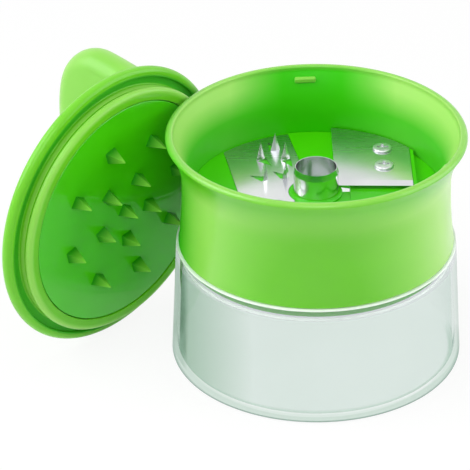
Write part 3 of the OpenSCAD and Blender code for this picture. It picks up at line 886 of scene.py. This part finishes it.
def carve(mesh, tools):
    """Cuts tool meshes out of a mesh and returns what is left."""
    body, cutters = bare_object("carved", mesh), [bare_object("tool", tool) for tool in tools]
    for cutter in cutters:
        cut = body.modifiers.new("cut", "BOOLEAN")
        cut.operation, cut.solver, cut.object = "DIFFERENCE", "EXACT", cutter
    depsgraph = bpy.context.evaluated_depsgraph_get()
    left = bpy.data.meshes.new_from_object(body.evaluated_get(depsgraph))
    for made in [body] + cutters:
        bpy.data.objects.remove(made)
    return left


def pan_screw(shank_r, head_r, head_h, length):
    """A pan-head screw with a cross recess; its head stands on zero height."""
    section = (
        [(0, -length), (shank_r - 0.3, -length), (shank_r, -length + 0.4), (shank_r, 0)]
        + [(head_r - 0.1, 0), (head_r, 0.1)]
        + arc((head_r - 0.5, head_h - 0.6), 0.5, 0, 80, 5)
        + [(head_r * 0.6, head_h), (0, head_h)]
    )
    long, slot, deep = head_r * 1.15, 0.9, head_h * 1.6
    bars = [block(size, 0.12, 2) for size in ((long, slot, deep), (slot, long, deep))]
    for bar in bars:
        bar.transform(Matrix.Translation((0, 0, head_h)))
    return carve(turned(section, screw_steel, 40), bars)


pairing = Recipe("pair_of_screws", {"First": (0.0, 0.0, 0.0), "Second": (0.0, 0.0, 0.0)})
ends = pairing.node(
    "GeometryNodeMeshLine", {"mode": "END_POINTS", "count_mode": "TOTAL"},
    {"Count": 2, "Start Location": pairing.given("First"), "Offset": pairing.given("Second")},
)
pairing.close(
    pairing.node(
        "GeometryNodeInstanceOnPoints", None, {"Points": ends, "Instance": pairing.given("Geometry")}
    )
)
print("recipe ready:", pairing.tree.name)

# %% [markdown]
# The same screw holds both plates; only its length and its places differ. The cuts have
# set the directions of its faces already, so settling leaves them as they are.

# %% Screws of both plates
slice_z, shank_r, head_r, head_h = 62.0, 1.5, 3.3, 0.9
plates = {
    "slicing": (4.4, slice_z, [(23.4, 25.5), (23.4, 13.5)]),
    "scoring": (3.2, deck_z, score_spots),
}
for plate, (length, level, spots) in plates.items():
    first, second = [(x, y, level) for x, y in spots]
    screw = pan_screw(shank_r, head_r, head_h, length)
    settle(
        f"{plate}_screw_pair", cook(pairing, screw, screw_steel, First=first, Second=second), screw_steel,
        "cutter", [f"{plate}_screw_1", f"{plate}_screw_2"], outwards=False,
    )

# %% [markdown]
# The holder is drawn flat, with its own axis upright and the origin in the middle of its
# flange, and then leaned into place by one matrix. Its bearing and its lean were found
# from its outline in the photograph, and its height from the floor that it stands on.

# %% Where the holder leans
holder_place = (
    Matrix.Translation((-69.062, 11.3552, 49.9499))
    @ Matrix.Rotation(radians(136.7), 4, "Z")
    @ Matrix.Rotation(radians(86.3), 4, "Y")
)
print("middle of the flange in mm:", [round(c, 2) for c in holder_place.translation])

# %% [markdown]
# The holder's finishes follow its own shape and not the room's axes. Two measures are
# enough: how far a point lies in front of the flange, and how far from the holder's
# axis. With them a painted shade, a deeper green, is laid in the channel behind the
# flange's edge, and a painted highlight, a little paler, on the plug's side and lip and
# on the flange's outer edge.

# %% The holder's own measures in a finish
flange_r, plug_r, seat_r, plug_low = 50.0, 44.4, 40.2, -6.4
holder_axis = holder_place.to_3x3() @ Vector((0, 0, -1))


def about_holder(finish):
    """Depth of a surface point in front of the flange, and its distance from the holder's axis, in mm."""
    arm = finish.vectors("SUBTRACT", finish.place, tuple(holder_place.translation / 1000))
    depth = finish.vectors("DOT_PRODUCT", arm, tuple(holder_axis), "Value") * 1000
    span = finish.vectors("LENGTH", arm, output="Value") * 1000
    return depth, (span * span - depth * depth) ** 0.5


def cap_channel_shade(green):
    """1 in the channel behind the flange's edge, where a painted shade goes."""
    depth, reach = about_holder(green)
    low = green.steps(depth, 3.0, 2.0) * green.steps(depth, 0.0, 0.5)
    low = low * green.steps(reach, plug_r - 0.4, plug_r + 0.2)
    return low * green.steps(reach, flange_r - 2.2, flange_r - 2.8)


def cap_painted_highlights(green):
    """A painted highlight on the plug's side and lip and the flange's outer edge, over a painted sheen."""
    depth, reach = about_holder(green)
    plug = green.steps(reach, plug_r - 2.2, plug_r - 1.2) * green.steps(reach, plug_r + 0.6, plug_r + 0.3)
    side = plug * green.steps(depth, 1.5, 2.2)
    groove = green.steps(depth, 3.3, 3.6) * green.steps(depth, 4.4, 4.1)
    # Painted highlight on the plug's side and the flange's edge, with a painted sheen where one looks along
    # the cap.
    painted_highlight = 0.45 * side * (1 - groove) + 0.12 * green.steps(reach, flange_r - 1.5, flange_r - 0.2)
    return (0.15 * green.aslant() + painted_highlight).at_most(1)


# Painted shade for the channel behind the flange's edge.
CHANNEL_SHADE_LIME = (0.022, 0.40, 0.003)
cap_green = moulded("lime_green_cap", LIME, CHANNEL_SHADE_LIME, cap_channel_shade, cap_painted_highlights, coat=0.5, polish=0.12)

# %% [markdown]
# The cap is a flange with a full round edge and a plug that fits the housing's mouth.
# A channel runs behind the flange's edge, a groove round the plug, and a seat inside the
# plug takes the spike plate. The section is a loop that starts at the hole for the
# centre bolt, on the back, and goes over the flange's edge to the front.

# %% The holder's cap
wall_r, bolt_hole_r, flange_half = plug_r - 0.5, 2.2, 2.0
disc_back, hollow_r, lip_edge, plug_round = -4.2, 37.7, 0.35, 1.5
cap_section = (
    [(bolt_hole_r, flange_half), (30, flange_half)]
    + arc((flange_r - flange_half, 0), flange_half, 90, -90, 16)
    + arc((flange_r - 2.8, -1.7), 0.3, -90, -180, 3)
    + arc((flange_r - 3.4, -1.2), 0.3, 0, 90, 3)
    + arc((wall_r + 0.5, -1.4), 0.5, 90, 180, 4)
    + [(wall_r, -3.6), (wall_r - 0.25, -3.7), (wall_r - 0.25, -4.0)]
    + arc((plug_r - 0.5, -4.6), 0.5, 90, 0, 4)
    + arc((plug_r - plug_round, plug_low + plug_round), plug_round, 0, -90, 8)
    + arc((seat_r + lip_edge, plug_low + lip_edge), lip_edge, -90, -180, 4)
    + [(seat_r, disc_back), (hollow_r, disc_back), (hollow_r, 0), (bolt_hole_r, 0)]
)
settle(
    "cap_turned", turned(cap_section, cap_green, 160, loop=True), cap_green,
    "holder", ["holder_cap"], holder_place,
)

# %% [markdown]
# The spikes catch more light at their tips than at their roots, which stand in the
# plate's own shade, so their green grows lighter with the depth in front of the flange.

# %% Finish of the spikes
spike_finish = Finish("lime_green_spikes", {"IOR": 1.5, "Specular IOR Level": 0.12, "Coat Roughness": 0.2})
disc_front, spike_w, spike_h, spike_tip = -6.2, 4.5, 6.5, 0.4
depth, _ = about_holder(spike_finish)
tipward = spike_finish.steps(depth, 0.5 - disc_front, spike_h - 0.3 - disc_front)
spike_grain = spike_finish.noise(1900, 2)
spike_green = spike_finish.wear(
    Base_Color=spike_finish.blend(tipward, (0.012, 0.27, 0.001, 1), (0.22, 0.66, 0.05, 1)),
    Roughness=0.34 + 0.1 * spike_grain,
    Coat_Weight=0.05 + 0.15 * tipward,
    Normal=spike_finish.bump(spike_grain, 0.18, 0.00002),
)
print("made", spike_green.name)

# %% [markdown]
# The spike plate carries one spike in the middle and two rings of them. A spike is a
# square pyramid with a small flat tip and edges softened as moulding leaves them. One
# recipe stands it in all three places, with both rings' sizes as named inputs.

# %% Recipe for the spikes
spiking = Recipe(
    "rings_of_spikes",
    {"Inner Count": 5, "Inner Radius": 11.6, "Outer Count": 8, "Outer Radius": 25.5, "Turn": 0.0},
)
spike_in, spike_turn = spiking.given("Geometry"), spiking.given("Turn")
rings = [
    ring_of(spiking, spike_in, 1, 0.0 * spike_turn, spike_turn),
    ring_of(spiking, spike_in, spiking.given("Inner Count"), spiking.given("Inner Radius"), spike_turn),
    ring_of(spiking, spike_in, spiking.given("Outer Count"), spiking.given("Outer Radius"), spike_turn),
]
gathered = spiking.tree.nodes.new("GeometryNodeJoinGeometry")
for ring in rings:
    spiking.feed(gathered.inputs[0], ring)
spiking.close(Value(spiking, gathered.outputs[0]))


def spike(width, height, tip):
    """A square spike that points down from zero height, with softened edges."""
    w, t, sunk = width / 2, tip / 2, 0.3
    corners = [(-w, -w, sunk), (w, -w, sunk), (w, w, sunk), (-w, w, sunk)]
    corners += [(-t, -t, -height), (t, -t, -height), (t, t, -height), (-t, t, -height)]
    faces = [(0, 1, 2, 3), (7, 6, 5, 4), (0, 4, 5, 1), (1, 5, 6, 2), (2, 6, 7, 3), (3, 7, 4, 0)]
    work = bmesh.new()
    made = [work.verts.new(corner) for corner in corners]
    for face in faces:
        work.faces.new([made[i] for i in face])
    slopes = [e for e in work.edges if abs(e.verts[0].co.z - e.verts[1].co.z) > 1]
    bmesh.ops.bevel(work, geom=slopes, offset=0.14, segments=2, profile=0.5, affect="EDGES")
    bmesh.ops.recalc_face_normals(work, faces=work.faces)
    return mesh_of(work, "spike")


print("recipe ready:", spiking.tree.name)

# %% [markdown]
# The plate is a disc with a small round at its edge, so well polished by its mould that
# it mirrors the housing and the cup beside it. Plate and spikes come out of one mould;
# they are two pieces here because their finishes differ.

# %% The spike plate and its spikes
disc_r, disc_round = 39.95, 0.4
plate_section = (
    [(0, disc_back), (disc_r - 0.35, disc_back), (disc_r, disc_back - 0.3)]
    + arc((disc_r - disc_round, disc_front + disc_round), disc_round, 0, -90, 4)
    + [(20, disc_front), (0, disc_front)]
)
settle(
    "spike_disc", turned(plate_section, disc_green, 144), disc_green,
    "holder", ["spike_plate"], holder_place,
)
spikes_mesh = cook(spiking, spike(spike_w, spike_h, spike_tip), spike_green, Turn=radians(209.8))
settle(
    "spikes", spikes_mesh, spike_green, "holder",
    place=holder_place @ Matrix.Translation((0, 0, disc_front)), crease=20,
)

# %% [markdown]
# The wing grip on the holder's back is a broad flat wing with two lobes for the fingers
# and a dip between them. Only one lobe shows in the photograph, so the other mirrors it.
# Half of the outline is drawn: up the end, round the lobe, and down a smooth curve into
# the dip.

# %% The wing's outline
wing_half, wing_h, wing_t, corner_r, wing_dip = 50.0, 28.3, 6.5, 15.0, 8.0
hole_low, hole_top, end_slope, foot_sunk, foot_flare, flare_h = -3.0, 15.0, 0.8, 1, 0.8, 5
lobe, end_h = wing_half - corner_r, wing_h - corner_r + foot_sunk
half_outline = (
    [
        (wing_half - end_slope + end_slope * sin(radians(90 * i / 8)), end_h * i / 8 - foot_sunk)
        for i in range(8)
    ]
    + arc((lobe, wing_h - corner_r), corner_r, 0, 90, 18)
    + [
        (lobe * (1 - i / 24), wing_h - wing_dip * (0.5 + 0.5 * cos(pi * (1 - i / 24))))
        for i in range(1, 25)
    ]
)
wing_outline = half_outline + [(-l, h) for l, h in reversed(half_outline[:-1])]
print("wing outline points:", len(wing_outline))

# %% [markdown]
# The wing's edge is fully round. It is a set of copies of the outline, each a little
# further in and a little further out to the side, as on a quarter circle. Bridging them
# gives a smooth round edge between two flat faces. The foot flares slightly, as a fillet
# in the mould leaves it, and is bored for the centre bolt that it turns on.

# %% The wing grip
def inwards(outline):
    """Unit directions into the wing at each outline point."""
    found = []
    for i in range(len(outline)):
        a, b = Vector(outline[max(i - 1, 0)]), Vector(outline[min(i + 1, len(outline) - 1)])
        along = (b - a).normalized()
        found.append(Vector((-along.y, along.x)))
    found[0], found[-1] = Vector((-1, 0)), Vector((1, 0))
    return found


def wing(outline, thick, steps=8):
    """A flat wing with a full-round edge that stands on zero height."""
    into = inwards(outline)
    work = bmesh.new()
    rings = {}
    for side in (-1, 1):
        for k in range(steps + 1):
            if k == 0 and side == 1:
                rings[(1, 0)] = rings[(-1, 0)]
                continue
            turn = radians(90 * k / steps)
            shift, out = thick * (1 - cos(turn)), thick * sin(turn)
            flat = [Vector(p) + d * shift for p, d in zip(outline, into)]
            flare = [foot_flare * max(0, 1 - p.y / flare_h) ** 2 * (out / thick) for p in flat]
            rings[(side, k)] = [work.verts.new((p.x, side * (out + f), p.y)) for p, f in zip(flat, flare)]
    for side in (-1, 1):
        for k in range(steps):
            a, b = rings[(side, k)], rings[(side, k + 1)]
            for i in range(len(outline) - 1):
                work.faces.new((a[i], a[i + 1], b[i + 1], b[i]))
        work.faces.new(rings[(side, steps)])
    inner, outer = range(steps, -1, -1), range(1, steps + 1)
    foot = [rings[(1, k)][0] for k in inner] + [rings[(-1, k)][0] for k in outer]
    foot += [rings[(-1, k)][-1] for k in inner] + [rings[(1, k)][-1] for k in outer]
    work.faces.new(foot)
    bmesh.ops.recalc_face_normals(work, faces=work.faces)
    return mesh_of(work, "wing")


hole_section = [(0, hole_top), (bolt_hole_r, hole_top), (bolt_hole_r, hole_low), (0, hole_low)]
wing_mesh = carve(wing(wing_outline, wing_t), [turned(hole_section, lit_green, 48)])
settle(
    "wing_rounded", wing_mesh, lit_green, "holder", ["wing_grip"],
    holder_place @ Matrix.Translation((0, 0, flange_half)) @ Matrix.Rotation(radians(13.5), 4, "Z"),
)

# %% [markdown]
# The other pieces keep the frame's own solids: the deck, the slicing blade, the collar,
# the hidden screws, the bolt and its washer. They are exact already, and get the
# same finishes as their neighbours.

# %% Finishes on the frame's own pieces
kept = {
    # The deck and collar wear the shaded copy of the green, a painted shade.
    shaded_green: ["blade_deck", "corer_collar"],
    blade_steel: ["slicing_blade"],
    screw_steel: [
        "deck_screw_1", "deck_screw_2", "deck_screw_3",
        "grip_screw_1", "grip_screw_2", "centre_bolt", "bolt_washer",
    ],
}
for finish, nodes in kept.items():
    for node in nodes:
        cad[node].data.materials.clear()
        cad[node].data.materials.append(finish)
print("frame pieces kept:", sum(len(n) for n in kept.values()))

# %% [markdown]
# The floor is plain and pale. For camera, mirror and see-through rays most of it glows
# white, so the background is white and steel and plastic show it too, and the rest of it
# is lit as usual, so the object still stands on its own soft shadow.

# %% Floor and room
def white_ray(bench, straight, mirrored, through):
    """How white a ray shows the background: from the camera, off a mirror, or through a clear wall."""
    path = ("Is Camera Ray", "Is Glossy Ray", "Is Transmission Ray")
    kinds = [bench.node("ShaderNodeLightPath", output=kind) for kind in path]
    return (straight * kinds[0] + mirrored * kinds[1] + through * kinds[2]).at_most(1)


floor_finish = Finish("pale_floor", {"Base Color": (0.94, 0.94, 0.94, 1), "Roughness": 0.9})
glow = floor_finish.node("ShaderNodeEmission", None, {"Color": (1, 1, 1, 1), "Strength": 1.0})
floor_finish.cover(white_ray(floor_finish, 0.9, 0.6, 0.35), glow)
floor_mesh = bpy.data.meshes.new("floor")
floor_mesh.from_pydata([(-4, -4, 0), (4, -4, 0), (4, 4, 0), (-4, 4, 0)], [], [(0, 1, 2, 3)])
floor_mesh.materials.append(floor_finish.material)
floor = bare_object("floor", floor_mesh)
floor.location.z = -0.0002

world = bpy.data.worlds.new("white_room")
bpy.context.scene.world = world
world.use_nodes = True
room = Bench(world.node_tree)
seen = white_ray(room, 1.0, 1.0, 0.3)
background = world.node_tree.nodes["Background"]
background.inputs["Color"].default_value = (1, 1, 1, 1)
room.feed(background.inputs["Strength"], 0.22 + 0.78 * seen)
print("floor and room ready")

# %% [markdown]
# Soft studio light: a broad lamp low on the right that washes the right side of the
# wall, one high on the left, a weaker one in front, and one overhead that lights the deck
# in its well. The plates would show the overhead lamp as a white glare, so it is hidden
# from mirrors.

# %% Lamps
def lamp(name, spot, aim, size, power, mirrored=True):
    data = bpy.data.lights.new(name, "AREA")
    data.shape, data.size, data.energy = "DISK", size, power
    made = bare_object(name, data)
    made.location, made.visible_glossy = spot, mirrored
    made.rotation_euler = (Vector(aim) - Vector(spot)).to_track_quat("-Z", "Y").to_euler()


lamp("lamp_right", (0.8, -0.05, 0.3), (0, 0, 0.05), 1.0, 5.0)
lamp("lamp_left", (-0.7, -0.1, 0.6), (-0.03, 0, 0.05), 0.8, 6.0)
lamp("lamp_front", (0.0, -0.75, 0.75), (0, 0, 0.05), 0.6, 2.5)
lamp("lamp_above", (0.0, -0.1, 0.95), (0, 0, 0.05), 0.6, 2.5, mirrored=False)
print("lamps ready")

# %% [markdown]
# The camera stands where the photograph was taken from: 30.25 degrees above the floor
# and 0.96 m from the point that it is aimed at, with a long lens and a very small roll.
# All of these were fitted to outlines in the photograph. The camera's axes are written
# out, so the frame is exact for a square picture.

# %% Camera
rise, roll, away = radians(30.25), radians(-0.8), 0.964
sensor_mm, focal_px, picture_px = 36.0, 2860.3, 470
look = Vector((0, cos(rise), -sin(rise)))
right, up = Vector((1, 0, 0)), Vector((0, sin(rise), cos(rise)))
right, up = right * cos(roll) + up * sin(roll), up * cos(roll) - right * sin(roll)
camera_data = bpy.data.cameras.new("photo_view")
camera_data.sensor_width, camera_data.lens = sensor_mm, sensor_mm * focal_px / picture_px
camera_data.clip_start, camera_data.clip_end = 0.05, 20
camera = bare_object("photo_view", camera_data)
stand = Vector((-0.0273, 0, 0.0436)) - look * away
camera.matrix_world = Matrix(
    [(right[i], up[i], -look[i], stand[i]) for i in range(3)] + [(0, 0, 0, 1)]
)
bpy.context.scene.camera = camera
bpy.context.scene.view_settings.view_transform = "Standard"
print("camera at", [round(c, 3) for c in stand])
